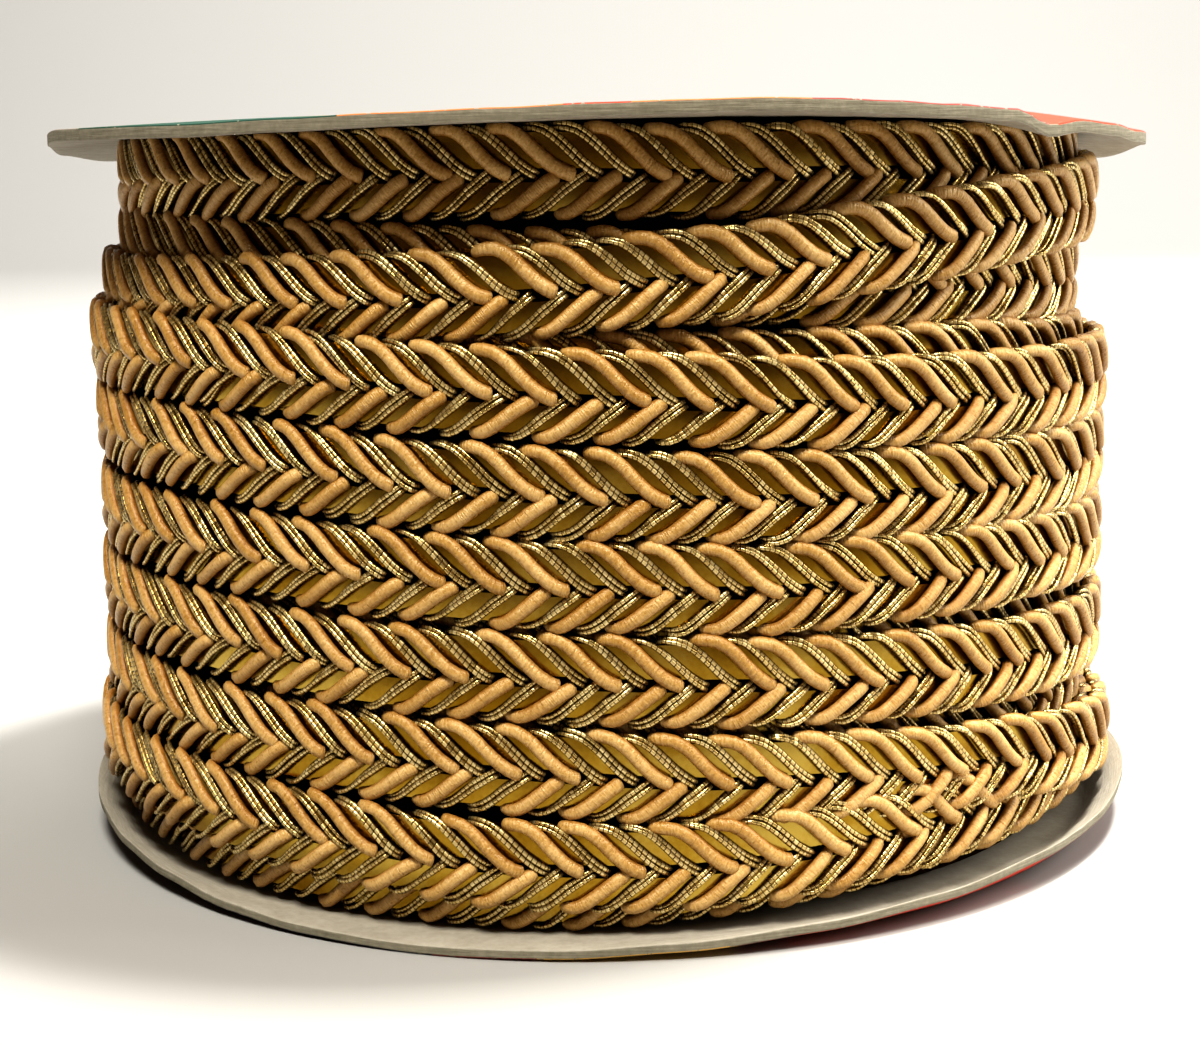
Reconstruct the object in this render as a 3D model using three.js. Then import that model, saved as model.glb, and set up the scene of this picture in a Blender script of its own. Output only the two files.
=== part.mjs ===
// A reel of two-rib braid trim: one continuous length of flat braid wound on a reel, between two card discs.
// Millimetres, +Z up. The reel stands on its bottom disc; the origin is on the axis, at that disc's lower face.
// Angles are in degrees, seen from above: 0 is the right (+X), -90 the front (-Y), 180 the left, 90 the back.
import * as THREE from "three";

// Card discs
const TOP_FACE_Z = 74.8; // upper face of the top disc, where it is flat
// How far the rim of each disc is bent up (+) or down (-), by angle, and the radius its bend starts from
const TOP_RIM = [
  { angle: -180, value: -2.6 },
  { angle: -170, value: -1.6 },
  { angle: -156, value: -1.08 },
  { angle: -130, value: -0.93 },
  { angle: -118, value: -0.6 },
  { angle: -108, value: -0.28 },
  { angle: -98, value: -0.02 },
  { angle: -90, value: 0.27 },
  { angle: -82, value: 0.42 },
  { angle: -76, value: 0.52 },
  { angle: -70, value: 0.38 },
  { angle: -64, value: 0.12 },
  { angle: -58, value: -0.22 },
  { angle: -50, value: -0.65 },
  { angle: -44.5, value: -2.1 },
  { angle: -39.5, value: -1.7 },
  { angle: -32, value: -2.1 },
  { angle: -24, value: -2.75 },
  { angle: -8, value: -3.15 },
  { angle: 12, value: -4.7 },
  { angle: 30, value: -4.5 },
  { angle: 60, value: -2.2 },
  { angle: 90, value: -1 },
  { angle: 130, value: -1.8 },
  { angle: 165, value: -3.4 },
  { angle: 180, value: -2.6 },
];
const TOP_BEND_FROM = [
  { angle: -180, value: 28 },
  { angle: -125, value: 28 },
  { angle: -85, value: 40 },
  { angle: -50, value: 42 },
  { angle: -44.5, value: 47.5 },
  { angle: -39.5, value: 42 },
  { angle: -30, value: 39 },
  { angle: 30, value: 39 },
  { angle: 90, value: 42 },
  { angle: 180, value: 28 },
];
const BOTTOM_RIM = [
  { angle: -180, value: 4.5 },
  { angle: -160, value: 3.35 },
  { angle: -150, value: 2.4 },
  { angle: -140, value: 1.6 },
  { angle: -130, value: 0.7 },
  { angle: -121, value: 0.25 },
  { angle: -108, value: 0 },
  { angle: -96, value: 0.2 },
  { angle: -84, value: 0.7 },
  { angle: -71, value: 1.4 },
  { angle: -58, value: 2.05 },
  { angle: -43, value: 2.9 },
  { angle: -30, value: 3.4 },
  { angle: -15, value: 4.4 },
  { angle: 15, value: 4.4 },
  { angle: 50, value: 2.5 },
  { angle: 90, value: 1 },
  { angle: 130, value: 2.5 },
  { angle: 180, value: 4.5 },
];
const BOTTOM_BEND_FROM = [
  { angle: -180, value: 51.8 },
  { angle: 180, value: 51.8 },
];

// centre: of the disc, which sits a little off the axis. rings: radii of its points between the middle and the edge.
const TOP_DISC = {
  radius: 58,
  card: 1.2,
  centre: [0, 0],
  rings: [14, 28, 34, 39, 42, 45, 48, 51, 54, 56],
  rim: TOP_RIM,
  bendFrom: TOP_BEND_FROM,
  bendPower: 1.4,
};
const BOTTOM_DISC = {
  radius: 56.4,
  card: 0.9,
  centre: [0.4, -1.6],
  rings: [24, 44, 51.8, 52.7, 53.7, 54.9, 55.7],
  rim: BOTTOM_RIM,
  bendFrom: BOTTOM_BEND_FROM,
  bendPower: 1.3,
};
const DISC_SIDES = 72;

// Braid: two ribs side by side, with a groove between them that the turns are placed by
const UPPER_RIB = 4.15; // from the middle groove to the upper edge
const LOWER_RIB = 4;
const GROOVE = 1.15; // depth of the middle groove and of the edges below the crest of a rib
const RIB_FLATNESS = 2.5; // a higher power gives a flatter rib with tighter shoulders
const JUST_PAST = 1.02;
const FACE_POINTS = [-JUST_PAST, -1, -0.8, -0.5, -0.2, 0, 0.2, 0.5, 0.8, 1, JUST_PAST]; // edges at -1 and 1

// Wound body
const CLEARANCE = 0.3;
const BODY_BOTTOM_Z = BOTTOM_DISC.card + CLEARANCE;
const BODY_TOP_Z = TOP_FACE_Z - TOP_DISC.card - CLEARANCE; // in the middle
const TOP_TURN_RADIUS = 51.8; // that the turn against the top disc stays within
const PACKED_RADIUS = 49.6; // of the turns that lie under the last two layers
const BODY_SIDES = 58;
const LEAST_STEP = 0.25; // between two points of the body's outline

// The braid as it is wound: a row for each turn, from the back by the right, front and left to the back again.
// radius: of the crests of the ribs. The other columns: height of the middle groove at that station.
const TURNS = [
  // the end of a hidden layer, and the turn against the top disc
  { radius: 50.2, back: 68.8, right: 68.8, nearRight: 68.8, front: 68.8, nearLeft: 68.8, left: 68.8 },
  { radius: 51.2, back: 68.8, right: 68.4, nearRight: 68.5, front: 68.9, nearLeft: 68.8, left: 68.2 },
  // the inner layer, wound downwards
  { radius: 51.4, back: 64.8, right: 57.1, nearRight: 58.0, front: 59.8, nearLeft: 60.9, left: 61.0 },
  { radius: 52.0, back: 56.1, right: 49.2, nearRight: 50.1, front: 51.0, nearLeft: 51.6, left: 52.0 },
  { radius: 52.2, back: 47.4, right: 41.2, nearRight: 41.6, front: 42.5, nearLeft: 43.1, left: 43.4 },
  { radius: 52.2, back: 38.8, right: 32.6, nearRight: 33.0, front: 33.9, nearLeft: 34.5, left: 34.8 },
  { radius: 52.2, back: 30.0, right: 23.9, nearRight: 24.3, front: 25.2, nearLeft: 25.8, left: 26.1 },
  { radius: 52.2, back: 21.0, right: 15.2, nearRight: 15.6, front: 16.4, nearLeft: 17.0, left: 17.3 },
  { radius: 53.6, back: 11.4, right: 8.0, nearRight: 7.5, front: 5.1, nearLeft: 5.5, left: 6.6 },
  // the outer layer, wound upwards
  { radius: 55.3, back: 7.2, right: 8.1, nearRight: 8.2, front: 7.0, nearLeft: 9.2, left: 10.2 },
  { radius: 54.6, back: 9.7, right: 7.7, nearRight: 12.1, front: 15.4, nearLeft: 17.1, left: 18.0 },
  { radius: 54.5, back: 19.0, right: 20.0, nearRight: 21.8, front: 24.1, nearLeft: 25.7, left: 26.7 },
  { radius: 54.5, back: 28.4, right: 30.1, nearRight: 31.3, front: 32.5, nearLeft: 34.5, left: 34.8 },
  { radius: 54.5, back: 36.9, right: 39.1, nearRight: 39.2, front: 40.8, nearLeft: 43.2, left: 44.2 },
  { radius: 54.6, back: 45.7, right: 47.0, nearRight: 47.5, front: 49.4, nearLeft: 51.7, left: 52.0 },
  // the last turn, which climbs over the inner layer
  { radius: 53.2, back: 57.4, right: 65.2, nearRight: 63.3, front: 59.1, nearLeft: 57.4, left: 57.5 },
];
// Where the columns of TURNS lie, in turns from the back
const STATIONS = { back: 0, right: 0.25, nearRight: 0.375, front: 0.5, nearLeft: 0.625, left: 0.75 };
const START = 0.7; // in turns: the start shows only where the first full turn leaves it bare
const END = TURNS.length - 0.06;
// Where the braid rides further out over another turn, or further in under one. at: in turns from the start.
const LAPS = [
  { at: 8.55, out: 0 },
  { at: 9.0, out: -1.2 },
  { at: 9.34, out: -1.2 },
  { at: 9.46, out: 0 },
  { at: 9.75, out: 0.2 },
  { at: 10.0, out: 0.2 },
  { at: 10.25, out: 1.1 },
  { at: 10.5, out: 0 },
  { at: 14.8, out: 0 },
  { at: 15.0, out: 1.2 },
  { at: 15.2, out: 0 },
];

const card = (name) =>
  Object.assign(new THREE.MeshStandardMaterial({ color: 0xb9b4a8, roughness: 0.9, metalness: 0 }), { name });
const braid = new THREE.MeshStandardMaterial({ color: 0xc4934a, roughness: 0.5, metalness: 0.25 });

const onCircle = (radius, degrees) => {
  const a = THREE.MathUtils.degToRad(degrees);
  return [radius * Math.cos(a), radius * Math.sin(a)];
};

// The value of a table at an angle from -180 to 180, smooth between its rows.
function valueAt(table, angle) {
  const next = Math.max(1, table.findIndex((row) => row.angle >= angle));
  const [from, to] = [table[next - 1], table[next]];
  return THREE.MathUtils.lerp(from.value, to.value, THREE.MathUtils.smoothstep(angle, from.angle, to.angle));
}

// How far a disc is bent up at a radius and an angle.
function bend(disc, radius, angle) {
  const from = valueAt(disc.bendFrom, angle);
  const share = Math.max(0, radius - from) / (disc.radius - from);
  return valueAt(disc.rim, angle) * share ** disc.bendPower;
}

// A closed surface from points in millimetres and triangles that index them.
function surface(points, triangles) {
  const geometry = new THREE.BufferGeometry();
  geometry.setAttribute("position", new THREE.Float32BufferAttribute(points.flat(), 3));
  geometry.setIndex(triangles.flat());
  geometry.computeVertexNormals();
  return geometry;
}

// A round card, flat in the middle, whose rim is bent as its tables say.
function cardDisc(disc, lowerFaceZ) {
  const points = [];
  const triangles = [];
  const rings = [...disc.rings, disc.radius];
  const [centreX, centreY] = disc.centre;
  for (const z of [lowerFaceZ, lowerFaceZ + disc.card]) {
    points.push([centreX, centreY, z]);
    for (const radius of rings)
      for (let i = 0; i < DISC_SIDES; i++) {
        const angle = -180 + (360 * i) / DISC_SIDES;
        const [x, y] = onCircle(radius, angle);
        points.push([centreX + x, centreY + y, z + bend(disc, radius, angle)]);
      }
  }
  const perFace = 1 + rings.length * DISC_SIDES;
  const at = (face, ring, i) => face * perFace + 1 + ring * DISC_SIDES + (i % DISC_SIDES);
  const outer = rings.length - 1;
  for (let i = 0; i < DISC_SIDES; i++) {
    triangles.push([0, at(0, 0, i + 1), at(0, 0, i)], [perFace, at(1, 0, i), at(1, 0, i + 1)]);
    for (let ring = 0; ring < outer; ring++) {
      triangles.push([at(0, ring, i), at(0, ring, i + 1), at(0, ring + 1, i + 1)]);
      triangles.push([at(0, ring, i), at(0, ring + 1, i + 1), at(0, ring + 1, i)]);
      triangles.push([at(1, ring, i), at(1, ring + 1, i + 1), at(1, ring, i + 1)]);
      triangles.push([at(1, ring, i), at(1, ring + 1, i), at(1, ring + 1, i + 1)]);
    }
    triangles.push([at(0, outer, i), at(0, outer, i + 1), at(1, outer, i + 1)]);
    triangles.push([at(0, outer, i), at(1, outer, i + 1), at(1, outer, i)]);
  }
  return surface(points, triangles);
}

const PLACES = TURNS.flatMap((turn, n) =>
  Object.entries(STATIONS).map(([name, share]) => ({ at: n + share, z: turn[name], radius: turn.radius })),
);

// A value of the braid's path, on a smooth curve through its places. at: in turns from the start.
function along(value, at) {
  const i = THREE.MathUtils.clamp(PLACES.findIndex((place) => place.at > at) - 1, 1, PLACES.length - 3);
  const [before, from, to, after] = PLACES.slice(i - 1, i + 3);
  const span = to.at - from.at;
  const t = (at - from.at) / span;
  const slope = (p, q) => (span * (q[value] - p[value])) / (q.at - p.at);
  const [leave, arrive] = [slope(before, to), slope(from, after)];
  const rise = to[value] - from[value];
  return from[value] + t * (leave + t * (3 * rise - 2 * leave - arrive + t * (leave + arrive - 2 * rise)));
}

// How far out of its layer the braid lies, smooth between the rows of LAPS.
function lap(at) {
  const next = LAPS.findIndex((row) => row.at > at);
  if (next < 1) return 0;
  const [from, to] = [LAPS[next - 1], LAPS[next]];
  return THREE.MathUtils.lerp(from.out, to.out, THREE.MathUtils.smoothstep(at, from.at, to.at));
}

// How far below its crests the braid's face lies, at a height above its middle groove.
function faceDepth(above) {
  const across = Math.abs(above) / (above < 0 ? LOWER_RIB : UPPER_RIB);
  return across > 1 ? Infinity : GROOVE * Math.abs(2 * across - 1) ** RIB_FLATNESS;
}

// The turns that pass a place, given as a share of a turn from the back in the direction of winding.
function passesAt(share) {
  return TURNS.map((_, turn) => turn + share)
    .filter((at) => at >= START && at <= END)
    .map((at) => ({ z: along("z", at), radius: along("radius", at) + lap(at) }));
}

// Height of the top of the body there, a clearance below the bent top disc.
function bodyTop(share) {
  const angle = 90 - 360 * share + (share > 0.75 ? 360 : 0);
  const around = [-4, 0, 4].map((aside) => THREE.MathUtils.clamp(angle + aside, -180, 180));
  return BODY_TOP_Z + Math.min(0, ...around.map((near) => bend(TOP_DISC, TOP_TURN_RADIUS, near)));
}

// Outline of the body there, from the bottom to the top, with points where the outermost turn bends.
function outlineAt(share) {
  const passes = passesAt(share);
  const face = (pass, z) => pass.radius - faceDepth(z - pass.z);
  const point = (z) => ({ z, radius: Math.max(PACKED_RADIUS, ...passes.map((pass) => face(pass, z))) });
  const bends = passes.flatMap((pass) =>
    FACE_POINTS.filter((across) => {
      const edge = THREE.MathUtils.clamp(across, -1, 1) * (across < 0 ? LOWER_RIB : UPPER_RIB) * 0.999;
      return face(pass, pass.z + edge) === point(pass.z + edge).radius;
    }).map((across) => point(pass.z + across * (across < 0 ? LOWER_RIB : UPPER_RIB))),
  );
  const outline = [point(BODY_BOTTOM_Z)];
  const top = bodyTop(share);
  for (const next of bends.sort((p, q) => p.z - q.z)) {
    const last = outline.at(-1);
    const step = Math.hypot(next.z - last.z, next.radius - last.radius);
    if (next.z > last.z && step >= LEAST_STEP && next.z < top - LEAST_STEP) outline.push(next);
  }
  return [...outline, point(top)];
}

// Triangles between two neighbouring outlines, lists of point numbers, joined as level as they can be.
function zip(points, left, right) {
  const rise = (p, q) => Math.abs(points[p][2] - points[q][2]);
  const triangles = [];
  let [i, j] = [0, 0];
  while (i < left.length - 1 || j < right.length - 1) {
    const leftEnds = i === left.length - 1;
    const rightEnds = j === right.length - 1;
    const upLeft = rightEnds || (!leftEnds && rise(left[i + 1], right[j]) < rise(left[i], right[j + 1]));
    triangles.push(upLeft ? [left[i], left[i + 1], right[j]] : [left[i], right[j + 1], right[j]]);
    if (upLeft) i++;
    else j++;
  }
  return triangles;
}

// The body of the wound turns, with flat ends against the discs.
function woundBody() {
  const points = [];
  const outlines = [];
  for (let i = 0; i < BODY_SIDES; i++) {
    const share = i / BODY_SIDES;
    const add = ({ z, radius }) => points.push([...onCircle(radius, 90 - 360 * share), z]) - 1;
    outlines.push(outlineAt(share).map(add));
  }
  const bottom = points.push([0, 0, BODY_BOTTOM_Z]) - 1;
  const top = points.push([0, 0, BODY_TOP_Z]) - 1;
  const triangles = outlines.flatMap((left, i) => {
    const right = outlines[(i + 1) % BODY_SIDES];
    const ends = [
      [bottom, left[0], right[0]],
      [top, right.at(-1), left.at(-1)],
    ];
    return [...zip(points, left, right), ...ends];
  });
  return surface(points, triangles);
}

const reel = new THREE.Group();
function addPiece(name, geometry, material) {
  const mesh = new THREE.Mesh(geometry, material);
  mesh.name = name;
  reel.add(mesh);
}
addPiece("bottom_disc", cardDisc(BOTTOM_DISC, 0), card("card"));
addPiece("wound_braid", woundBody(), braid);
addPiece("top_disc", cardDisc(TOP_DISC, TOP_FACE_Z - TOP_DISC.card), card("card"));

export default reel;
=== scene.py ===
"""A reel of two-rib braid trim: cords, gold threads and gold strips, wound in turns between two card discs.

Metres, +Z up; the origin lies under the middle of the top disc, level with the bottom disc's lower face.
Along the braid, u runs against the winding, so that it runs to the right across the front; v is the height
above the middle groove, and n is the distance out from the gold strips. Angles are in degrees, as seen from
above: 0 right, -90 front, 180 left, 90 back.
"""

import math
from collections import namedtuple

import bmesh
import bpy
import numpy as np
from mathutils import Matrix


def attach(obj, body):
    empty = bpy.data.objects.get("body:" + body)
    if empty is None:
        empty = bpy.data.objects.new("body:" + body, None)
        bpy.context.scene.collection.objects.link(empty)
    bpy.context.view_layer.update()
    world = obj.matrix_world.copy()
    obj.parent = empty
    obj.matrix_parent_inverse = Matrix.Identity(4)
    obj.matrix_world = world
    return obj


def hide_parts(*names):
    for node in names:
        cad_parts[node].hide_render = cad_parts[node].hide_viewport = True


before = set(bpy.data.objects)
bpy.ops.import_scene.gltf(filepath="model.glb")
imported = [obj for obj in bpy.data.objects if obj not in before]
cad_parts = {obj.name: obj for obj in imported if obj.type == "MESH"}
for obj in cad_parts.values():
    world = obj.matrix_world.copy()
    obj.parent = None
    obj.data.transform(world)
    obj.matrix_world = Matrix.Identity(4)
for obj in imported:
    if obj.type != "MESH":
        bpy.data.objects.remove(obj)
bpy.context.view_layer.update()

MM = 0.001
random = np.random.default_rng(11)

# ---------------------------------------------------------------- sizes, in millimetres

Turn = namedtuple("Turn", "radius back right near_right front near_left left")
TURNS = [
    # the end of a hidden layer, and the turn against the top disc
    Turn(50.2, 68.8, 68.8, 68.8, 68.8, 68.8, 68.8),
    Turn(51.2, 68.8, 68.4, 68.5, 68.9, 68.8, 68.2),
    # the inner layer, wound downwards
    Turn(51.4, 64.8, 57.1, 58.0, 59.8, 60.9, 61.0),
    Turn(52.0, 56.1, 49.2, 50.1, 51.0, 51.6, 52.0),
    Turn(52.2, 47.4, 41.2, 41.6, 42.5, 43.1, 43.4),
    Turn(52.2, 38.8, 32.6, 33.0, 33.9, 34.5, 34.8),
    Turn(52.2, 30.0, 23.9, 24.3, 25.2, 25.8, 26.1),
    Turn(52.2, 21.0, 15.2, 15.6, 16.4, 17.0, 17.3),
    Turn(53.6, 11.4, 8.0, 7.5, 5.1, 5.5, 6.6),
    # the outer layer, wound upwards
    Turn(55.3, 7.2, 8.1, 8.2, 7.0, 9.2, 10.2),
    Turn(54.6, 9.7, 7.7, 12.1, 15.4, 17.1, 18.0),
    Turn(54.5, 19.0, 20.0, 21.8, 24.1, 25.7, 26.7),
    Turn(54.5, 28.4, 30.1, 31.3, 32.5, 34.5, 34.8),
    Turn(54.5, 36.9, 39.1, 39.2, 40.8, 43.2, 44.2),
    Turn(54.6, 45.7, 47.0, 47.5, 49.4, 51.7, 52.0),
    # the last turn, which climbs over the inner layer
    Turn(53.2, 57.4, 65.2, 63.3, 59.1, 57.4, 57.5),
]
STATIONS = {"back": 0.0, "right": 0.25, "near_right": 0.375, "front": 0.5, "near_left": 0.625, "left": 0.75}
START = 0.7  # in turns
END = len(TURNS) - 0.06
# how far the braid rides out over another turn, or in under one, by its place in turns
LAP_AT = [8.55, 9.0, 9.34, 9.46, 9.75, 10.0, 10.25, 10.5, 14.8, 15.0, 15.2]
LAP_OUT = [0, -1.2, -1.2, 0, 0.2, 0.2, 1.1, 0, 0, 1.2, 0]

# how far the braid wanders out and up as it goes
SWAY_OUT = 0.12
SWAY_UP = 0.14

UNIT = 19.6  # length of braid in which the pattern of cords and threads repeats
CREST = 1.2  # height of a cord's crest above the strips
UPPER_CORD_RADIUS = 0.68
LOWER_CORD_RADIUS = 0.67
CORD_FLATNESS = 0.82  # height of a cord as a share of its width
EDGE_TAPER = 0.14  # how much thinner a strand is where it turns round the edge
THREAD_RADIUS = 0.25
THREAD_WRAP = 0.46  # width of one turn of metal round a thread
CORD_WRAP = 0.25
STRIP_THICKNESS = 0.08
BACKING_THICKNESS = 0.5

PACKED_RADIUS = 48.6  # of the turns packed under the last two layers
PACKED_ROW = 4.2  # height of one of those turns
PACKED_SWELL = 0.012  # how far each turn swells, as a share of the radius
PACKED_CLEAR_BELOW = 0.35
PACKED_CLEAR_ABOVE = 3.0

BARE_MIDDLE_RADIUS = 34  # of the print
RING_RADIUS = 36  # of the fine line round its bare middle
RING_HALF_WIDTH = 1.2
WORN_WIDTH = 0.35  # of the rubbed band along the rim

# rings: widths of the rings of faces, from the edge inwards. rim_bend: how far the rim is bent up, and
# bend_start: the radius from which it bends, both by angle.
Disc = namedtuple("Disc", "radius card x y rings bend_power rim_angle rim_bend start_angle bend_start")
TOP_FACE_Z = 74.8
STRAND_CLEARANCE = 0.06  # between the strands and the disc above them
TOP_DISC = Disc(
    radius=58.0,
    card=1.2,
    x=0,
    y=0,
    rings=(0.8, 1.6, 1.6, 2, 2, 2, 2, 2.5, 2.5, 2.5, 2.5, 3, 3, 4, 8, 8, 6),
    bend_power=1.4,
    rim_angle=[-180, -170, -156, -130, -118, -108, -98, -90, -82, -76, -70, -64, -58]
    + [-50, -44.5, -39.5, -32, -24, -8, 12, 30, 60, 90, 130, 165, 180],
    rim_bend=[-2.6, -1.6, -1.08, -0.93, -0.6, -0.28, -0.02, 0.27, 0.42, 0.52, 0.38, 0.12, -0.22]
    + [-0.65, -2.1, -1.7, -2.1, -2.75, -3.15, -4.7, -4.5, -2.2, -1, -1.8, -3.4, -2.6],
    start_angle=[-180, -125, -85, -50, -44.5, -39.5, -30, 30, 90, 180],
    bend_start=[28, 28, 40, 42, 47.5, 42, 39, 39, 42, 28],
)
BOTTOM_DISC = Disc(
    radius=56.4,
    card=0.9,
    x=0.4,
    y=-1.6,
    rings=(0.8, 0.9, 0.9, 0.9, 0.9, 0.9, 5, 14, 16, 12),
    bend_power=1.3,
    rim_angle=[-180, -160, -150, -140, -130, -121, -108, -96, -84, -71]
    + [-58, -43, -30, -15, 15, 50, 90, 130, 180],
    rim_bend=[4.5, 3.35, 2.4, 1.6, 0.7, 0.25, 0, 0.2, 0.7, 1.4]
    + [2.05, 2.9, 3.4, 4.4, 4.4, 2.5, 1, 2.5, 4.5],
    start_angle=[-180, 180],
    bend_start=[51.8, 51.8],
)


# ---------------------------------------------------------------- the path of the braid


def smooth_steps(x, xs, ys):
    """The values ys at the places xs, joined by smooth steps, level at each place."""
    i = np.clip(np.searchsorted(xs, x, side="right") - 1, 0, len(xs) - 2)
    xs, ys = np.asarray(xs, float), np.asarray(ys, float)
    t = np.clip((x - xs[i]) / (xs[i + 1] - xs[i]), 0, 1)
    return ys[i] + (ys[i + 1] - ys[i]) * t * t * (3 - 2 * t)


def smooth_curve(x, xs, ys):
    """A smooth curve through the values ys at the places xs."""
    i = np.clip(np.searchsorted(xs, x, side="right") - 1, 1, len(xs) - 3)
    span = xs[i + 1] - xs[i]
    t = (x - xs[i]) / span
    leave = span * (ys[i + 1] - ys[i - 1]) / (xs[i + 1] - xs[i - 1])
    arrive = span * (ys[i + 2] - ys[i]) / (xs[i + 2] - xs[i])
    rise = ys[i + 1] - ys[i]
    return ys[i] + t * (leave + t * (3 * rise - 2 * leave - arrive + t * (leave + arrive - 2 * rise)))


PLACE_AT = np.array([n + share for n in range(len(TURNS)) for share in STATIONS.values()])
PLACE_Z = np.array([getattr(turn, station) for turn in TURNS for station in STATIONS])
PLACE_RADIUS = np.array([turn.radius for turn in TURNS for _ in STATIONS])


def groove_z(at):
    """Height of the middle groove at a place in turns."""
    return smooth_curve(at, PLACE_AT, PLACE_Z)


def crest_radius(at):
    """Distance of the cords' crests from the axis at a place in turns."""
    return smooth_curve(at, PLACE_AT, PLACE_RADIUS) + smooth_steps(at, LAP_AT, LAP_OUT)


FINE_AT = np.linspace(END, START, 6000)
FINE_U = np.concatenate(
    [[0], np.cumsum(2 * math.pi * crest_radius((FINE_AT[1:] + FINE_AT[:-1]) / 2) * -np.diff(FINE_AT))]
)


def at_of(u):
    """The place in turns at u along the braid."""
    return np.interp(u, FINE_U, FINE_AT)


def u_of(at):
    """How far along the braid a place in turns lies."""
    return np.interp(-np.asarray(at), -FINE_AT, FINE_U)


def sway(u, seed, wave):
    """A slow wander between -1 and 1 along the braid."""
    phases = np.random.default_rng(seed).uniform(0, 2 * math.pi, 3)
    steps = (1.0, 0.618, 0.382)
    return sum(np.sin(2 * math.pi * u / (wave * step) + phase) for step, phase in zip(steps, phases)) / 3


def bend_of(disc, x, y):
    """How far up a disc is bent at places x, y from its middle."""
    radius, angle = np.hypot(x, y), np.degrees(np.arctan2(y, x))
    start = smooth_steps(angle, disc.start_angle, disc.bend_start)
    share = np.maximum(0, radius - start) / (disc.radius - start)
    return smooth_steps(angle, disc.rim_angle, disc.rim_bend) * share**disc.bend_power


def on_reel(points):
    """Points (u, v, n) of the braid, in millimetres, as places on the reel in metres."""
    u, v, n = points[..., 0], points[..., 1], points[..., 2]
    at = at_of(u)
    angle = math.radians(90) - 2 * math.pi * at
    radius = crest_radius(at) - CREST + n + SWAY_OUT * sway(u, seed=1, wave=47)
    x, y = radius * np.cos(angle), radius * np.sin(angle)
    under_top_disc = TOP_FACE_Z - TOP_DISC.card + bend_of(TOP_DISC, x, y) - STRAND_CLEARANCE
    z = np.minimum(groove_z(at) + v + SWAY_UP * sway(u, seed=2, wave=61), under_top_disc)
    return np.stack([x, y, z], axis=-1) * MM


# ---------------------------------------------------------------- modelling helpers


def deselect():
    bpy.ops.object.select_all(action="DESELECT")


def active_piece(name):
    obj = bpy.context.object
    obj.name = name
    obj.data.name = name
    return obj


def select_edges(obj, test):
    """Selects the edges of the object in edit mode whose two ends pass the test."""
    bpy.ops.mesh.select_mode(type="EDGE")
    bpy.ops.mesh.select_all(action="DESELECT")
    mesh = bmesh.from_edit_mesh(obj.data)
    for edge in mesh.edges:
        edge.select = test(edge.verts[0].co, edge.verts[1].co)
    bmesh.update_edit_mesh(obj.data)


def select_faces(obj, test):
    """Selects the faces of the object in edit mode that pass the test."""
    bpy.ops.mesh.select_mode(type="FACE")
    bpy.ops.mesh.select_all(action="DESELECT")
    mesh = bmesh.from_edit_mesh(obj.data)
    for face in mesh.faces:
        face.select = test(face)
    bmesh.update_edit_mesh(obj.data)


Strand = namedtuple("Strand", "points corners counts length")


def straight_strand(length, radius, sides, cuts, round_ends):
    """A straight cord or thread along X, kept as arrays in shares of its length and radius."""
    deselect()
    bpy.ops.mesh.primitive_cylinder_add(
        vertices=sides,
        radius=radius * MM,
        depth=length * MM,
        end_fill_type="NGON",
        rotation=(0, math.pi / 2, 0),
    )
    strand = active_piece("strand")
    bpy.ops.object.transform_apply(location=False, rotation=True, scale=False)
    bpy.ops.object.mode_set(mode="EDIT")
    select_edges(strand, lambda a, b: abs(a.x - b.x) > 0.5 * length * MM)
    bpy.ops.mesh.subdivide(number_cuts=cuts)
    if round_ends:
        end = 0.4999 * length * MM
        select_edges(strand, lambda a, b: (a.x > end and b.x > end) or (a.x < -end and b.x < -end))
        bpy.ops.mesh.bevel(offset=0.62 * radius * MM, segments=2, profile=0.5, affect="EDGES")
    bpy.ops.object.mode_set(mode="OBJECT")
    mesh = strand.data
    points = np.empty(3 * len(mesh.vertices))
    mesh.vertices.foreach_get("co", points)
    points = points.reshape(-1, 3) / [length * MM, radius * MM, radius * MM] + [0.5, 0, 0]
    corners = np.empty(len(mesh.loops), int)
    mesh.loops.foreach_get("vertex_index", corners)
    counts = np.empty(len(mesh.polygons), int)
    mesh.polygons.foreach_get("loop_total", counts)
    bpy.data.objects.remove(strand)
    return Strand(points, corners, counts, length)


def curve_weights(t, count):
    """Weights that give the points and directions at t, from 0 to 1, on a curve through count points."""
    x = np.clip(t, 0, 1) * (count - 1)
    i = np.minimum(x.astype(int), count - 2)
    f = x - i
    places = np.stack([i - 1, i, i + 1, i + 2])
    shares = 0.5 * np.stack(
        [-f + 2 * f**2 - f**3, 2 - 5 * f**2 + 3 * f**3, f + 4 * f**2 - 3 * f**3, -(f**2) + f**3]
    )
    slopes = 0.5 * np.stack(
        [-1 + 4 * f - 3 * f**2, -10 * f + 9 * f**2, 1 + 8 * f - 9 * f**2, -2 * f + 3 * f**2]
    )
    points = np.zeros((len(t), count))
    directions = np.zeros((len(t), count))
    for place, share, slope in zip(places, shares, slopes):
        place = np.clip(place, 0, count - 1)
        np.add.at(points, (np.arange(len(t)), place), share)
        np.add.at(directions, (np.arange(len(t)), place), slope)
    return points, directions


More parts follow.
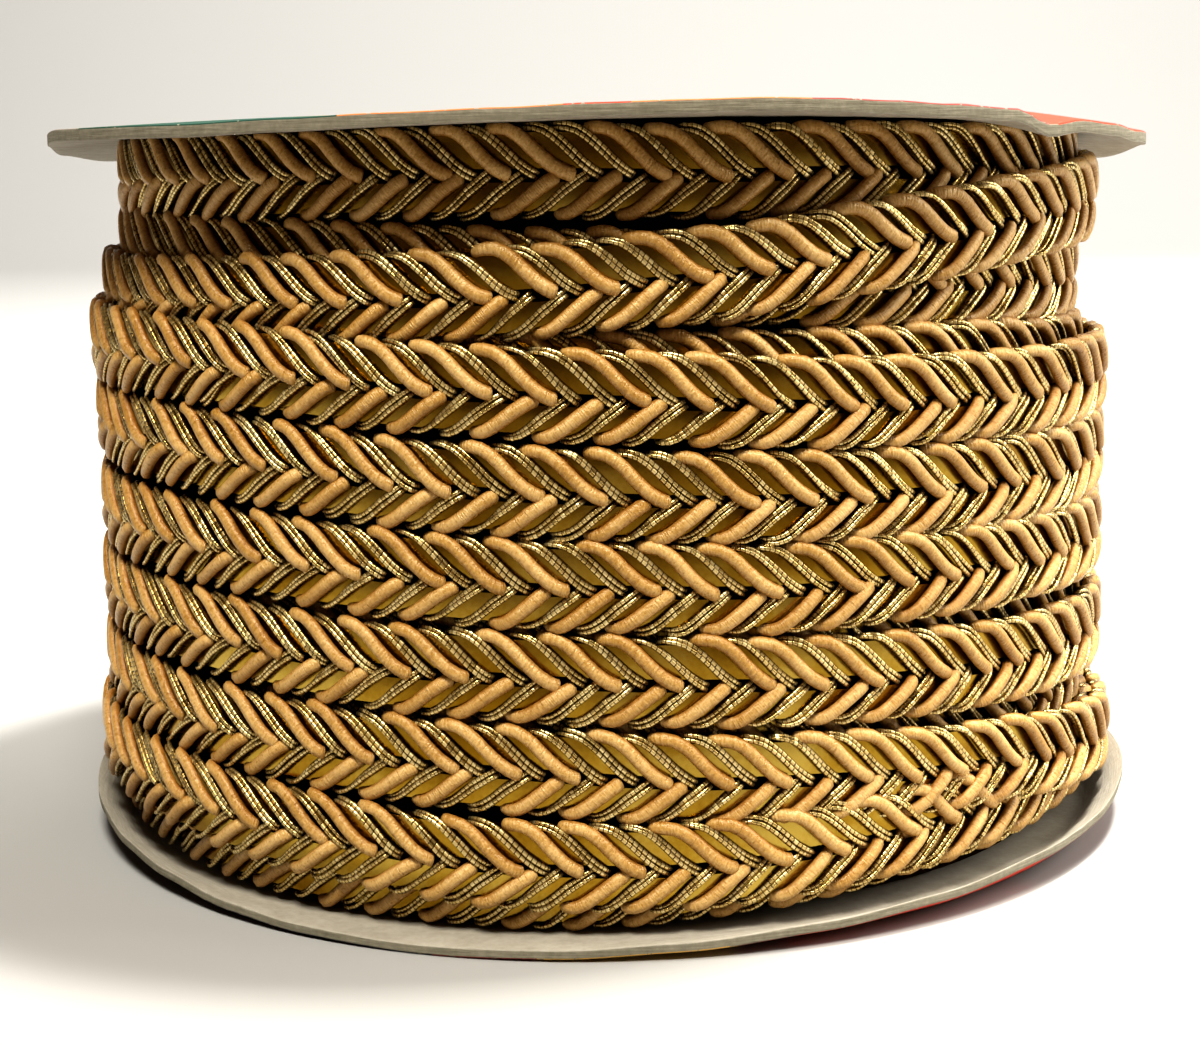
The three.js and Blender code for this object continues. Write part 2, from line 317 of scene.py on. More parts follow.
def lay_strands(strand, paths, radius, flatness=1.0):
    """Copies of a strand bent along paths on the flat braid, an array of (copies, points, 3)."""
    weights, slopes = curve_weights(strand.points[:, 0], paths.shape[1])
    middle = weights @ paths
    along = slopes @ paths
    along /= np.linalg.norm(along, axis=-1, keepdims=True)
    run = paths[:, -1] - paths[:, 0]
    across = np.stack([-run[:, 1], run[:, 0], np.zeros(len(run))], axis=-1)
    across /= np.linalg.norm(across, axis=-1, keepdims=True)
    up = np.cross(along, across[:, None, :])
    up /= np.linalg.norm(up, axis=-1, keepdims=True)
    side = np.cross(up, along)
    y, z = strand.points[:, 1, None], strand.points[:, 2, None]
    taper = 1 - EDGE_TAPER * strand.points[:, 0, None] ** 2
    return middle + radius * taper * (y * side + flatness * z * up)


def joined_copies(name, strand, groups, twins=1):
    """One mesh of many bent copies, whose points keep their place along and round their own strand.

    The copies in each group are in as many equal sets as there are twins, and twins are wound alike.
    """
    points = np.concatenate([group.reshape(-1, 3) for group in groups])
    size = len(strand.points)
    copies = len(points) // size
    mesh = bpy.data.meshes.new(name)
    mesh.vertices.add(len(points))
    mesh.vertices.foreach_set("co", on_reel(points).ravel())
    corners = (strand.corners[None] + size * np.arange(copies)[:, None]).ravel()
    counts = np.tile(strand.counts, copies)
    mesh.loops.add(len(corners))
    mesh.loops.foreach_set("vertex_index", corners)
    mesh.polygons.add(len(counts))
    mesh.polygons.foreach_set("loop_start", np.concatenate([[0], np.cumsum(counts)[:-1]]))
    mesh.update(calc_edges=True)
    mesh.polygons.foreach_set("use_smooth", np.ones(len(counts), bool))
    numbers = [np.tile(random.uniform(0, 1, len(group) // twins), twins) for group in groups]
    number = np.repeat(np.concatenate(numbers), size)
    lay = np.stack(
        [
            np.tile(strand.points[:, 0] * strand.length, copies) + 10 * number,
            np.tile(np.arctan2(strand.points[:, 1], strand.points[:, 2]) / (2 * math.pi), copies),
            number,
        ],
        axis=-1,
    )
    mesh.attributes.new("lay", "FLOAT_VECTOR", "POINT").data.foreach_set("vector", lay.ravel())
    mesh.validate()
    obj = bpy.data.objects.new(name, mesh)
    bpy.context.collection.objects.link(obj)
    return obj


# ---------------------------------------------------------------- node helpers


def material(name):
    """A new material, its node tree, and its shader."""
    made = bpy.data.materials.new(name)
    made.use_nodes = True
    tree = made.node_tree
    return made, tree, tree.nodes["Principled BSDF"]


def node(tree, kind, values=None, **settings):
    """A node with settings, and with values or links for its inputs by name or number."""
    made = tree.nodes.new(kind)
    for key, value in settings.items():
        setattr(made, key, value)
    for key, value in (values or {}).items():
        if isinstance(value, bpy.types.NodeSocket):
            tree.links.new(value, made.inputs[key])
        else:
            made.inputs[key].default_value = value
    return made


def ramp(tree, factor, stops):
    """A colour ramp: stops are (position, (red, green, blue))."""
    made = node(tree, "ShaderNodeValToRGB", {"Fac": factor})
    elements = made.color_ramp.elements
    while len(elements) < len(stops):
        elements.new(0.5)
    for element, (position, colour) in zip(elements, stops):
        element.position = position
        element.color = (*colour, 1)
    return made.outputs["Color"]


def maths(tree, operation, *values, clamp=False):
    return node(
        tree, "ShaderNodeMath", dict(enumerate(values)), operation=operation, use_clamp=clamp
    ).outputs[0]


def noise(tree, vector, scale, detail=2.0, roughness=0.5):
    values = {"Vector": vector, "Scale": scale, "Detail": detail, "Roughness": roughness}
    return node(tree, "ShaderNodeTexNoise", values).outputs["Fac"]


def mix_colour(tree, factor, first, second, blend="MIX"):
    values = {"Factor": factor, 6: first, 7: second}
    return node(tree, "ShaderNodeMix", values, data_type="RGBA", blend_type=blend).outputs[2]


def bump(tree, height, distance, strength=1.0):
    values = {"Height": height, "Distance": distance, "Strength": strength}
    return node(tree, "ShaderNodeBump", values).outputs["Normal"]


def lay_axes(tree):
    """Millimetres along a strand, share of the way round it, and the strand's own number."""
    lay = node(tree, "ShaderNodeAttribute", attribute_name="lay").outputs["Vector"]
    split = node(tree, "ShaderNodeSeparateXYZ", {0: lay})
    return split.outputs


def object_place(tree):
    return node(tree, "ShaderNodeTexCoord").outputs["Object"]


# ---------------------------------------------------------------- materials


def cord_material():
    """Silky tan thread wound closely round a core, with painted shade down its sides."""
    made, tree, shader = material("silky_tan_gimp")
    along, around, number = lay_axes(tree)
    place = object_place(tree)
    slant = maths(tree, "MULTIPLY_ADD", around, 0.3, along)
    turn = maths(tree, "MULTIPLY", slant, 2 * math.pi / CORD_WRAP)
    round_turn = maths(tree, "MULTIPLY_ADD", maths(tree, "SINE", turn), 0.5, 0.5)
    winding = {
        0: maths(tree, "MULTIPLY", slant, 3.4),
        1: maths(tree, "MULTIPLY", around, 2.0),
        2: maths(tree, "MULTIPLY", number, 50),
    }
    lines = noise(tree, node(tree, "ShaderNodeCombineXYZ", winding).outputs[0], 1.6, 3, 0.6)
    silk = noise(tree, place, 3200, 3, 0.7)
    blotch = noise(tree, place, 240, 2)
    tone = maths(tree, "MULTIPLY_ADD", silk, 0.34, maths(tree, "MULTIPLY", lines, 0.38))
    tone = maths(tree, "ADD", tone, maths(tree, "MULTIPLY", blotch, 0.3))
    tone = maths(tree, "MULTIPLY_ADD", number, 0.1, tone)
    tans = [(0.36, (0.31, 0.142, 0.018)), (0.52, (0.485, 0.268, 0.064)), (0.68, (0.7, 0.46, 0.178))]
    colour = ramp(tree, tone, tans)
    # Painted shade: the cord darkens away from its crest, down the sides that lie against the strips.
    painted_side_shade = ramp(tree, maths(tree, "ABSOLUTE", around), [(0.05, (0, 0, 0)), (0.26, (1, 1, 1))])
    painted_shade_colour = mix_colour(tree, 1.0, colour, (0.54, 0.37, 0.17, 1), "MULTIPLY")
    colour = mix_colour(tree, painted_side_shade, colour, painted_shade_colour)
    tree.links.new(colour, shader.inputs["Base Color"])
    tree.links.new(maths(tree, "MULTIPLY_ADD", silk, 0.4, 0.12), shader.inputs["Roughness"])
    shader.inputs["Specular IOR Level"].default_value = 0.85
    shader.inputs["Specular Tint"].default_value = (1.0, 0.88, 0.66, 1)
    relief = maths(tree, "MULTIPLY_ADD", silk, 0.7, lines)
    relief = maths(tree, "MULTIPLY_ADD", round_turn, 0.1, relief)
    tree.links.new(bump(tree, relief, 0.00015, 0.9), shader.inputs["Normal"])
    return made


def thread_material():
    """Gold thread: a fine metal wrap with a dark line between its turns, and painted shade down its sides.
    """
    made, tree, shader = material("wrapped_gold_thread")
    along, around, number = lay_axes(tree)
    slant = maths(tree, "MULTIPLY_ADD", around, 0.12, along)
    turns = maths(tree, "DIVIDE", slant, THREAD_WRAP)
    cell = maths(tree, "FLOOR", turns)
    within = maths(tree, "FRACT", turns)
    from_middle = maths(tree, "ABSOLUTE", maths(tree, "SUBTRACT", within, 0.5))
    seed = node(tree, "ShaderNodeCombineXYZ", {0: cell, 1: maths(tree, "MULTIPLY", number, 977)})
    own = node(tree, "ShaderNodeTexWhiteNoise", {"Vector": seed.outputs[0]}).outputs["Value"]
    tilt = node(tree, "ShaderNodeTexWhiteNoise", {"Vector": seed.outputs[0]}).outputs["Color"]
    tilt = maths(tree, "SUBTRACT", node(tree, "ShaderNodeSeparateXYZ", {0: tilt}).outputs[1], 0.5)
    gold = ramp(tree, own, [(0.0, (0.5, 0.35, 0.11)), (0.5, (0.74, 0.56, 0.23)), (1.0, (0.92, 0.76, 0.38))])
    line = ramp(tree, from_middle, [(0.39, (0, 0, 0)), (0.43, (1, 1, 1))])
    # Painted shade: each thread darkens away from its crest, down its sides.
    painted_side_shade = ramp(tree, maths(tree, "ABSOLUTE", around), [(0.1, (0, 0, 0)), (0.22, (1, 1, 1))])
    painted_shade_colour = mix_colour(tree, 1.0, gold, (0.36, 0.28, 0.14, 1), "MULTIPLY")
    gold = mix_colour(tree, painted_side_shade, gold, painted_shade_colour)
    colour = mix_colour(tree, line, gold, (0.03, 0.01, 0.004, 1))
    tree.links.new(colour, shader.inputs["Base Color"])
    shader.inputs["Metallic"].default_value = 0.82
    tree.links.new(maths(tree, "MULTIPLY_ADD", own, 0.14, 0.22), shader.inputs["Roughness"])
    fall = maths(tree, "POWER", maths(tree, "MULTIPLY", from_middle, 2.0), 9.0)
    dome = maths(tree, "SUBTRACT", 1.0, fall)
    face = maths(tree, "MULTIPLY_ADD", maths(tree, "MULTIPLY", tilt, within), 3.0, dome)
    tree.links.new(bump(tree, face, 0.00004, 0.9), shader.inputs["Normal"])
    return made


def strip_material():
    """Flat gold strip: soft polished metal with faint clouding."""
    made, tree, shader = material("polished_gold_strip")
    place = object_place(tree)
    cloud = noise(tree, place, 110, 2)
    grain = noise(tree, place, 2200, 2)
    tone = maths(tree, "MULTIPLY_ADD", cloud, 0.8, maths(tree, "MULTIPLY", grain, 0.2))
    colour = ramp(
        tree, tone, [(0.35, (0.24, 0.122, 0.006)), (0.5, (0.37, 0.22, 0.022)), (0.65, (0.5, 0.35, 0.07))]
    )
    tree.links.new(colour, shader.inputs["Base Color"])
    shader.inputs["Metallic"].default_value = 1.0
    tree.links.new(maths(tree, "MULTIPLY_ADD", cloud, 0.08, 0.18), shader.inputs["Roughness"])
    tree.links.new(bump(tree, cloud, 0.00025, 0.35), shader.inputs["Normal"])
    return made


def painted_shade_material():
    """Dark brown backing, painted near black as shade, which shows between the strips."""
    made, tree, shader = material("painted_shade_backing")
    speck = noise(tree, object_place(tree), 1500, 3)
    # Painted shade: the near-black colour stands in for the deep shade in the gaps between the strips.
    colour = ramp(tree, speck, [(0.35, (0.003, 0.001, 0.0005)), (0.7, (0.015, 0.006, 0.002))])
    tree.links.new(colour, shader.inputs["Base Color"])
    shader.inputs["Roughness"].default_value = 1.0
    shader.inputs["Specular IOR Level"].default_value = 0.0
    tree.links.new(bump(tree, speck, 0.0001, 0.8), shader.inputs["Normal"])
    return made


def board_material(name, stops):
    """Grey board, flecked and in fine layers."""
    made, tree, shader = material(name)
    place = object_place(tree)
    flat = node(tree, "ShaderNodeMapping", {"Vector": place, "Scale": (250, 250, 6000)}).outputs[0]
    layers = noise(tree, flat, 1.0, 4, 0.6)
    fleck = noise(tree, place, 1400, 4, 0.65)
    tone = maths(tree, "MULTIPLY_ADD", layers, 0.6, maths(tree, "MULTIPLY", fleck, 0.4))
    tree.links.new(ramp(tree, tone, stops), shader.inputs["Base Color"])
    shader.inputs["Roughness"].default_value = 0.85
    tree.links.new(bump(tree, tone, 0.00012, 0.7), shader.inputs["Normal"])
    return made


def print_material(name, wedges, disc):
    """Printed paper on a disc's outer face: plain wedges of colour inside a ring, rubbed at the rim."""
    made, tree, shader = material(name)
    place = object_place(tree)
    split = node(tree, "ShaderNodeSeparateXYZ", {0: place})
    x = maths(tree, "SUBTRACT", split.outputs[0], disc.x * MM)
    y = maths(tree, "SUBTRACT", split.outputs[1], disc.y * MM)
    angle = maths(tree, "MULTIPLY_ADD", maths(tree, "ARCTAN2", y, x), 0.5 / math.pi, 0.5)
    radius = maths(tree, "SQRT", maths(tree, "MULTIPLY_ADD", x, x, maths(tree, "MULTIPLY", y, y)))
    colours = node(tree, "ShaderNodeValToRGB", {"Fac": angle})
    colours.color_ramp.interpolation = "CONSTANT"
    elements = colours.color_ramp.elements
    while len(elements) < len(wedges):
        elements.new(0.5)
    for element, (position, colour) in zip(elements, wedges):
        element.position = position
        element.color = (*colour, 1)
    middle = maths(tree, "LESS_THAN", radius, BARE_MIDDLE_RADIUS * MM)
    face = mix_colour(tree, middle, colours.outputs["Color"], (0.15, 0.14, 0.115, 1))
    from_ring = maths(tree, "ABSOLUTE", maths(tree, "SUBTRACT", radius, RING_RADIUS * MM))
    ring = maths(tree, "LESS_THAN", from_ring, RING_HALF_WIDTH * MM)
    face = mix_colour(tree, ring, face, (0.26, 0.165, 0.036, 1))
    scuff = noise(tree, place, 900, 5, 0.7)
    edge = maths(tree, "GREATER_THAN", radius, (disc.radius - WORN_WIDTH) * MM)
    worn = maths(tree, "MULTIPLY", edge, maths(tree, "GREATER_THAN", scuff, 0.6))
    face = mix_colour(tree, worn, face, (0.25, 0.22, 0.17, 1))
    tree.links.new(face, shader.inputs["Base Color"])
    shader.inputs["Roughness"].default_value = 0.6
    shader.inputs["Specular IOR Level"].default_value = 0.12
    tree.links.new(bump(tree, scuff, 0.00003, 0.4), shader.inputs["Normal"])
    return made


# ---------------------------------------------------------------- the braid

Run = namedtuple("Run", "name first last")
RUNS = [
    Run("top_turns", START, 4.0),
    Run("gap_turns_high", 6.05, 6.6),
    Run("gap_turns_low", 7.0, 7.6),
    Run("lower_turns", 8.0, 12.0),
    Run("upper_turns", 12.0, END),
]

# where the cords and the pairs of threads of one repeat end at the middle groove, to the right of its start
UPPER_CORDS = [0.0, 5.6, 11.2]
UPPER_THREADS = [2.4, 8.0, 13.6, 16.5]
LOWER_CORDS = [1.1, 9.55, 15.2]
LOWER_THREADS = [3.6, 6.6, 12.4, 17.8]

# middle lines from the middle groove to the edge, (u, v, n), from where they end at the groove
UPPER_CORD = [
    (0.3, -0.02, 0.25),
    (-0.4, 0.22, 0.6),
    (-1.5, 0.9, 0.68),
    (-2.7, 2.0, 0.68),
    (-3.85, 3.15, 0.62),
    (-5.1, 3.95, 0.48),
    (-6.4, 4.12, 0.15),
    (-7.4, 3.95, -0.6),
]
LOWER_CORD = [
    (0.35, -0.12, -0.05),
    (-0.25, -0.4, 0.45),
    (-1.1, -1.0, 0.64),
    (-2.0, -1.7, 0.68),
    (-2.95, -2.45, 0.62),
    (-3.9, -3.08, 0.45),
    (-4.8, -3.38, 0.1),
    (-5.6, -3.3, -0.6),
]
UPPER_THREAD = [
    (0.25, -0.05, 0.0),
    (-0.4, 0.3, 0.34),
    (-1.45, 1.05, 0.42),
    (-2.6, 2.15, 0.44),
    (-3.75, 3.2, 0.4),
    (-4.9, 3.95, 0.3),
    (-6.1, 4.2, 0.05),
    (-7.1, 4.05, -0.55),
]
LOWER_THREAD = [
    (0.25, 0.1, -0.1),
    (-0.25, -0.2, 0.28),
    (-1.1, -0.85, 0.4),
    (-2.1, -1.6, 0.44),
    (-3.1, -2.5, 0.4),
    (-4.1, -3.2, 0.28),
    (-5.1, -3.52, 0.0),
    (-5.8, -3.45, -0.6),
]


# low, high: the edges of a strip across the braid. It drops by drop at half its width from its middle.
Strip = namedtuple("Strip", "name low high middle half drop seed")
STRIPS = [
    Strip("upper_strip", low=0.6, high=3.7, middle=2.15, half=1.55, drop=0.06, seed=3),
    Strip("lower_strip", low=-3.1, high=-0.6, middle=-1.8, half=1.2, drop=0.05, seed=4),
]
BACKING = (-3.2, 3.9)  # its edges


def path_length(path):
    return float(np.linalg.norm(np.diff(np.array(path), axis=0), axis=1).sum())


def anchors(run, places):
    """Where strands end at the middle groove along a stretch of braid."""
    first, last = u_of(run.last), u_of(run.first)
    repeats = np.arange(math.floor(first / UNIT) - 1, math.ceil(last / UNIT) + 1)
    all_places = (repeats[:, None] * UNIT + np.array(places)[None]).ravel()
    return all_places[(all_places >= first) & (all_places < last)]


def uneven_paths(path, places, end_wander, wander):
    """The same path from each place, each a little different."""
    path = np.array(path)
    paths = np.repeat(path[None], len(places), axis=0)
    paths[:, :, 0] += places[:, None]
    share = np.linspace(1, 0, len(path))[None, :, None]
    at_groove = random.normal(0, end_wander, (len(places), 1, 3)) * [1, 0.8, 0.3]
    at_edge = random.normal(0, end_wander, (len(places), 1, 3)) * [1.3, 0.5, 0.3]
    bow = random.normal(0, wander, (len(places), 1, 3)) * [1, 1, 0.4]
    return paths + at_groove * share + at_edge * (1 - share) + bow * np.sin(np.pi * share)


def thread_pairs(path, places):
    """Two threads along each path, side by side, which turn over each other towards the edge."""
    middles = uneven_paths(path, places, 0.1, 0.1)
    count = middles.shape[1]
    run = middles[:, -1] - middles[:, 0]
    side = np.stack([-run[:, 1], run[:, 0], np.zeros(len(run))], axis=-1)
    side /= np.linalg.norm(side, axis=-1, keepdims=True)
    start = random.normal(0.0, 0.3, len(places))[:, None]
    turn = random.normal(1.2, 0.5, len(places))[:, None]
    angle = start + turn * np.linspace(0, 1, count)[None]
    spread = (THREAD_RADIUS * (0.96 + np.abs(random.normal(0, 0.09, len(places)))))[:, None, None]
    sideways, outwards = np.cos(angle)[..., None], 0.8 * np.sin(angle)[..., None]
    offset = spread * (sideways * side[:, None, :] + outwards * [0, 0, 1])
    return np.concatenate([middles + offset, middles - offset])


def ribbon(name, run, low, high, n_of, thickness, step=1.7, across=6):
    """A strip along a run of braid, from low to high across it, as a closed thin band."""
    u = np.arange(u_of(run.last), u_of(run.first), step)
    v = np.linspace(low, high, across)
    grid_u, grid_v = np.meshgrid(u, v, indexing="ij")
    outer = np.stack([grid_u, grid_v, n_of(grid_u, grid_v)], axis=-1)
    inner = outer - [0, 0, thickness]
    ring = np.concatenate([outer, inner[:, ::-1]], axis=1)
    steps, size = ring.shape[:2]
    mesh = bpy.data.meshes.new(name)
    number = np.arange(steps * size).reshape(steps, size)
    beside = np.roll(number, -1, axis=1)
    faces = np.stack([number[:-1], number[1:], beside[1:], beside[:-1]], axis=-1)
    faces = faces.reshape(-1, 4).tolist()
    faces += [number[0].tolist(), number[-1, ::-1].tolist()]
    mesh.from_pydata(on_reel(ring).reshape(-1, 3).tolist(), [], faces)
    lay = np.stack([ring[..., 0], ring[..., 1], np.zeros_like(ring[..., 0])], axis=-1)
    mesh.attributes.new("lay", "FLOAT_VECTOR", "POINT").data.foreach_set("vector", lay.ravel())
    mesh.update()
    obj = bpy.data.objects.new(name, mesh)
    bpy.context.collection.objects.link(obj)
    deselect()
    bpy.context.view_layer.objects.active = obj
    obj.select_set(True)
    bpy.ops.object.shade_smooth_by_angle(angle=math.radians(50))
    return obj


def rounded(strip):
    """The outward rise of a strip that is rounded across and wanders a little."""

    def rise(u, v):
        return 0.06 * sway(u, strip.seed, wave=17) - strip.drop * ((v - strip.middle) / strip.half) ** 2

    return rise


def hollow(u, v):
    """The outward rise of the backing, which lies deepest at its edges."""
    return -0.4 - 0.02 * v**2


def finish_piece(obj, slot, *materials, replaces="wound_braid"):
    """Gives a piece its materials, and ties it to the reel in place of the plain solid."""
    for made in materials:
        obj.data.materials.append(made)
    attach(obj, "root")
    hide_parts(replaces)


def build_cords(run, upper, lower, look):
    """The gimp cords of a run, as one piece."""
    upper_paths = uneven_paths(UPPER_CORD, anchors(run, UPPER_CORDS), 0.12, 0.1)
    lower_paths = uneven_paths(LOWER_CORD, anchors(run, LOWER_CORDS), 0.12, 0.08)
    copies = [
        lay_strands(upper, upper_paths, UPPER_CORD_RADIUS, CORD_FLATNESS),
        lay_strands(lower, lower_paths, LOWER_CORD_RADIUS, CORD_FLATNESS),
    ]
    finish_piece(joined_copies(f"{run.name}_cords", upper, copies), "tan_gimp", look)


def build_threads(run, upper, lower, look):
    """The pairs of gold threads of a run, as one piece."""
    copies = [
        lay_strands(upper, thread_pairs(UPPER_THREAD, anchors(run, UPPER_THREADS)), THREAD_RADIUS),
        lay_strands(lower, thread_pairs(LOWER_THREAD, anchors(run, LOWER_THREADS)), THREAD_RADIUS),
    ]
    finish_piece(joined_copies(f"{run.name}_threads", upper, copies, twins=2), "gold_thread", look)


def build_strips(run, strip_look, painted_shade_look):
    """The gold strips of a run, and the backing under them, painted dark as shade."""
    for strip in STRIPS:
        name = f"{run.name}_{strip.name}"
        piece = ribbon(name, run, strip.low, strip.high, rounded(strip), STRIP_THICKNESS)
        finish_piece(piece, "gold_strip", strip_look)
    ground = ribbon(f"{run.name}_backing", run, *BACKING, hollow, BACKING_THICKNESS, step=2.5, across=4)
    finish_piece(ground, "tan_gimp", painted_shade_look)


def build_braid():
    cord_look, thread_look = cord_material(), thread_material()
    strip_look, painted_shade_look = strip_material(), painted_shade_material()
    cord = {"sides": 8, "cuts": 10, "round_ends": True}
    thread = {"sides": 6, "cuts": 9, "round_ends": False}
    upper_cord = straight_strand(path_length(UPPER_CORD), UPPER_CORD_RADIUS, **cord)
    lower_cord = straight_strand(path_length(LOWER_CORD), LOWER_CORD_RADIUS, **cord)
    upper_thread = straight_strand(path_length(UPPER_THREAD), THREAD_RADIUS, **thread)
    lower_thread = straight_strand(path_length(LOWER_THREAD), THREAD_RADIUS, **thread)
    for run in RUNS:
        build_cords(run, upper_cord, lower_cord, cord_look)
        build_threads(run, upper_thread, lower_thread, thread_look)
        build_strips(run, strip_look, painted_shade_look)
    # The packed turns are painted in the same near-black shade.
    finish_piece(packed_turns(), "tan_gimp", painted_shade_look)


def packed_turns():
    """The turns packed under the last two layers, painted dark as shade, seen only between the rows."""
    deselect()
    bottom = BOTTOM_DISC.card + PACKED_CLEAR_BELOW
    top = TOP_FACE_Z - TOP_DISC.card - PACKED_CLEAR_ABOVE
    bpy.ops.mesh.primitive_cylinder_add(
        vertices=120,
        radius=PACKED_RADIUS * MM,
        depth=(top - bottom) * MM,
        location=(0, 0, (top + bottom) / 2 * MM),
    )
    body = active_piece("packed_turns")
    bpy.ops.object.transform_apply(location=True)
    bpy.ops.object.mode_set(mode="EDIT")
    select_edges(body, lambda a, b: abs(a.z - b.z) > 0.5 * (top - bottom) * MM)
    bpy.ops.mesh.subdivide(number_cuts=33)
    bpy.ops.object.mode_set(mode="OBJECT")
    for vertex in body.data.vertices:
        x, y, z = vertex.co
        if math.hypot(x, y) > 0.5 * PACKED_RADIUS * MM:
            swell = 1 + PACKED_SWELL * math.sin(2 * math.pi * z / (PACKED_ROW * MM))
            vertex.co = (x * swell, y * swell, z)
    return body


# ---------------------------------------------------------------- the card discs


def card_disc(name, disc, lower_face, printed_face_up):
    """A round card whose rim is bent, with one printed face, one plain face and a cut edge."""
    deselect()
    middle = lower_face + disc.card / 2
    bpy.ops.mesh.primitive_cylinder_add(
        vertices=240,
        radius=disc.radius * MM,
        depth=disc.card * MM,
        end_fill_type="NGON",
        location=(0, 0, middle * MM),
    )
    piece = active_piece(name)
    bpy.ops.object.transform_apply(location=True)
    bpy.ops.object.mode_set(mode="EDIT")
    near_rim = 0.98 * disc.radius * MM
    select_edges(piece, lambda a, b: abs(a.z - b.z) < 1e-6 and math.hypot(a.x, a.y) > near_rim)
    bpy.ops.mesh.bevel(offset=0.12 * MM, segments=2, profile=0.5, affect="EDGES")
    select_edges(piece, lambda a, b: abs(a.z - b.z) > 0.5 * disc.card * MM)
    bpy.ops.mesh.subdivide(number_cuts=3)
    select_faces(piece, lambda face: len(face.verts) > 4)
    for width in disc.rings:
        bpy.ops.mesh.inset(thickness=width * MM)
    bpy.ops.object.mode_set(mode="OBJECT")
    for vertex in piece.data.vertices:
        x, y, z = (value / MM for value in vertex.co)
        vertex.co = ((x + disc.x) * MM, (y + disc.y) * MM, (z + float(bend_of(disc, x, y))) * MM)
    outward = 1 if printed_face_up else -1
    for face in piece.data.polygons:
        up = face.normal.z * outward
        face.material_index = 2 if up > 0.35 else 0 if up < -0.35 else 1
    deselect()
    piece.select_set(True)
    bpy.ops.object.shade_smooth_by_angle(angle=math.radians(50))
    return piece


def build_discs():
    plain = board_material(
        "grey_board", [(0.3, (0.25, 0.225, 0.175)), (0.55, (0.34, 0.31, 0.25)), (0.75, (0.41, 0.38, 0.32))]
    )
    edge = board_material(
        "cut_edge", [(0.3, (0.13, 0.115, 0.075)), (0.55, (0.23, 0.21, 0.15)), (0.75, (0.36, 0.33, 0.25))]
    )
    grey, green, orange = (0.2, 0.18, 0.15), (0.015, 0.05, 0.035), (0.45, 0.15, 0.05)
    red, maroon, gold, dark = (0.5, 0.045, 0.02), (0.25, 0.05, 0.04), (0.7, 0.42, 0.1), (0.02, 0.02, 0.03)
    top_wedges = [(0.0, grey), (0.085, green), (0.185, orange), (0.24, red), (0.255, orange), (0.3, maroon)]
    top_wedges += [(0.375, red), (0.46, maroon), (0.6, green), (0.75, orange), (0.88, red)]
    # The near-black wedges, round the left of the bottom print, are painted shadow on the underside of the
    # lifted rim.
    bottom_wedges = [(0.0, dark), (0.2, maroon), (0.23, gold), (0.28, maroon), (0.294, red), (0.38, maroon)]
    bottom_wedges += [(0.5, red), (0.65, gold), (0.8, dark)]
    top = card_disc("top_card", TOP_DISC, TOP_FACE_Z - TOP_DISC.card, printed_face_up=True)
    top_print = print_material("printed_top", top_wedges, TOP_DISC)
    finish_piece(top, "card", plain, edge, top_print, replaces="top_disc")
    bottom = card_disc("bottom_card", BOTTOM_DISC, 0, printed_face_up=False)
    bottom_print = print_material("printed_bottom", bottom_wedges, BOTTOM_DISC)
    finish_piece(bottom, "card", plain, edge, bottom_print, replaces="bottom_disc")


# ---------------------------------------------------------------- the studio


FLOOR_SIDE = 2.48
FLOOR_MIDDLE = (0, 0.34, -0.00005)
WALL_HEIGHT = 1.4
WALL_CURVE = 0.5

Light = namedtuple("Light", "name place size power colour target")
REEL_FOOT = (0, 0, 0.03)
LIGHTS = [
    Light("key", (-0.04, -0.4, 0.72), 0.22, 9.4, (1.0, 0.96, 0.88), REEL_FOOT),
    Light("side", (0.7, 0.05, 0.4), 0.5, 7.0, (1.0, 0.96, 0.9), REEL_FOOT),
    Light("back", (0.35, 0.6, 0.8), 0.6, 3.5, (1.0, 0.98, 0.95), REEL_FOOT),
    Light("overhead", (0.2, 0.03, 0.8), 0.1, 13.0, (1.0, 0.97, 0.92), REEL_FOOT),
    Light("backdrop", (0.32, 0.45, 0.9), 1.0, 36.0, (1.0, 0.98, 0.95), (0.32, 1.5, 0.3)),
]


def soft_light(light):
    """A square soft box that looks at its target."""
    deselect()
    direction = np.array(light.target) - np.array(light.place)
    flat = math.hypot(direction[0], direction[1])
    down = math.pi / 2 - math.atan2(-direction[2], flat)
    round_z = math.atan2(direction[1], direction[0]) - math.pi / 2
    bpy.ops.object.light_add(type="AREA", location=light.place, rotation=(down, 0, round_z))
    box = active_piece(light.name)
    box.data.size = light.size
    box.data.energy = light.power
    box.data.color = light.colour


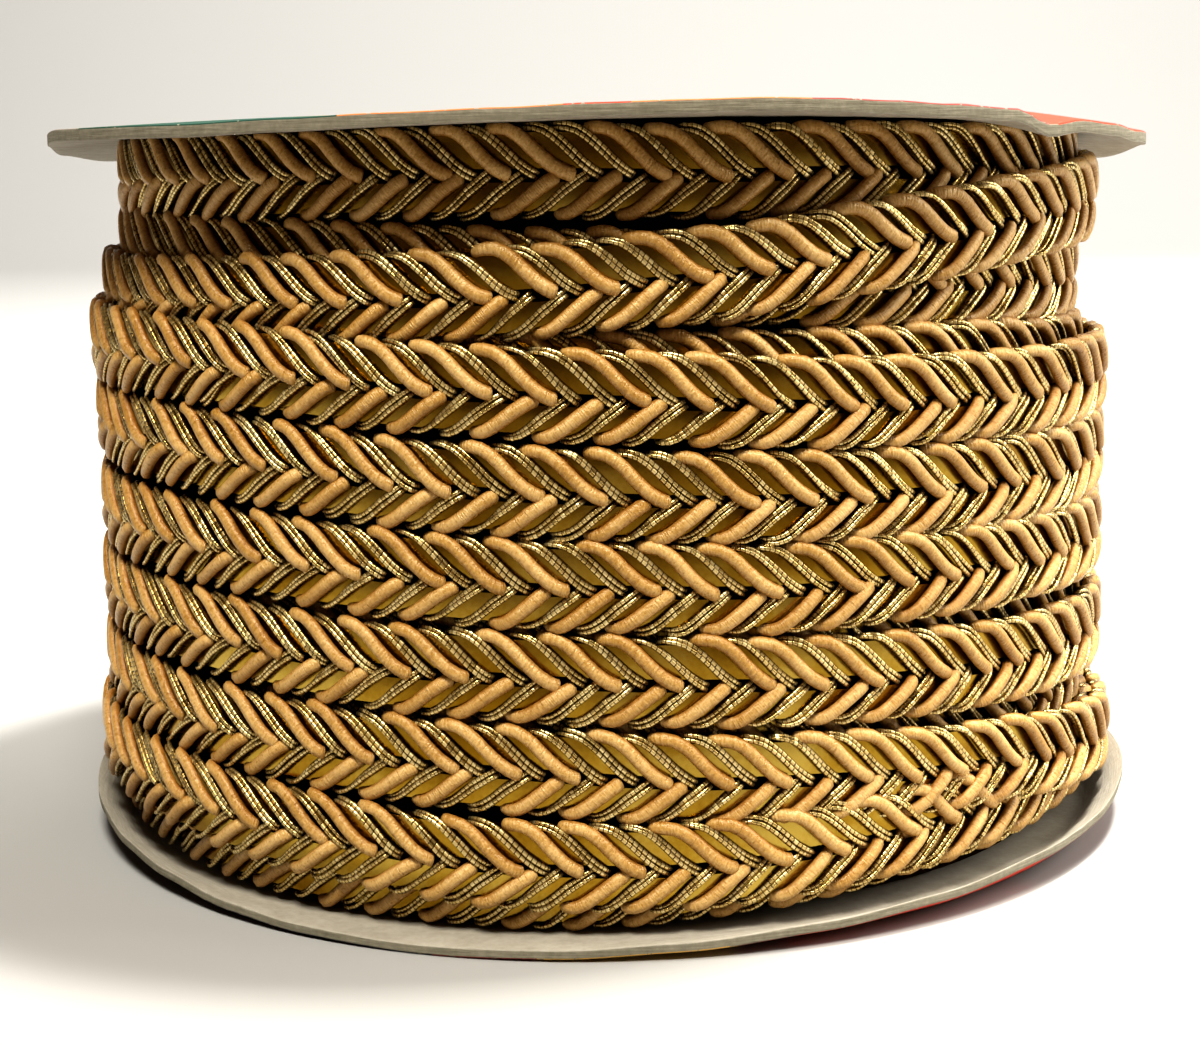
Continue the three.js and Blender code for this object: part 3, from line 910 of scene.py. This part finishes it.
def floor_material():
    """Pale ground, darkened towards the front as painted shade."""
    made, tree, shader = material("pale_floor")
    place = node(tree, "ShaderNodeSeparateXYZ", {0: object_place(tree)})
    back = maths(tree, "MULTIPLY_ADD", place.outputs[1], 5.0, 1.0, clamp=True)
    # Painted shade: the floor in front of the reel is darkened, so that it throws less light back up onto
    # the reel.
    colour = ramp(tree, back, [(0.1, (0.1, 0.085, 0.07)), (0.75, (0.32, 0.316, 0.306))])
    tree.links.new(colour, shader.inputs["Base Color"])
    shader.inputs["Roughness"].default_value = 0.9
    return made


def build_studio():
    """A floor that curves up into a wall behind the reel, a faint warm surrounding and the lights."""
    deselect()
    bpy.ops.mesh.primitive_plane_add(size=FLOOR_SIDE, location=FLOOR_MIDDLE)
    floor = active_piece("floor")
    bpy.ops.object.transform_apply(location=True)
    bpy.ops.object.mode_set(mode="EDIT")
    select_edges(floor, lambda a, b: a.y > 1 and b.y > 1)
    bpy.ops.mesh.extrude_region_move(TRANSFORM_OT_translate={"value": (0, 0, WALL_HEIGHT)})
    select_edges(floor, lambda a, b: a.y > 1 and b.y > 1 and abs(a.z) < 0.01 and abs(b.z) < 0.01)
    bpy.ops.mesh.bevel(offset=WALL_CURVE, segments=16, profile=0.5, affect="EDGES")
    bpy.ops.object.mode_set(mode="OBJECT")
    bpy.ops.object.shade_smooth()
    floor.data.materials.append(floor_material())

    world = bpy.data.worlds.new("studio")
    bpy.context.scene.world = world
    world.use_nodes = True
    background = world.node_tree.nodes["Background"]
    background.inputs["Color"].default_value = (1.0, 0.6, 0.3, 1)
    background.inputs["Strength"].default_value = 0.065

    for light in LIGHTS:
        soft_light(light)


def build_camera():
    eye_height, pitch, roll = 0.0723, math.radians(9.645), math.radians(0.886)
    camera = bpy.data.objects.new("camera", bpy.data.cameras.new("camera"))
    bpy.context.collection.objects.link(camera)
    camera.location = (-0.0003, -0.2502, eye_height)
    camera.rotation_mode = "XYZ"
    turned = Matrix.Rotation(math.pi / 2 - pitch, 4, "X") @ Matrix.Rotation(-roll, 4, "Z")
    camera.rotation_euler = turned.to_euler()
    camera.data.sensor_width = 36
    camera.data.lens = 68.2
    camera.data.clip_start = 0.01
    bpy.context.scene.camera = camera


build_camera()
build_braid()
build_discs()
build_studio()
bpy.context.scene.view_settings.view_transform = "Standard"
bpy.context.scene.view_settings.look = "Medium High Contrast"
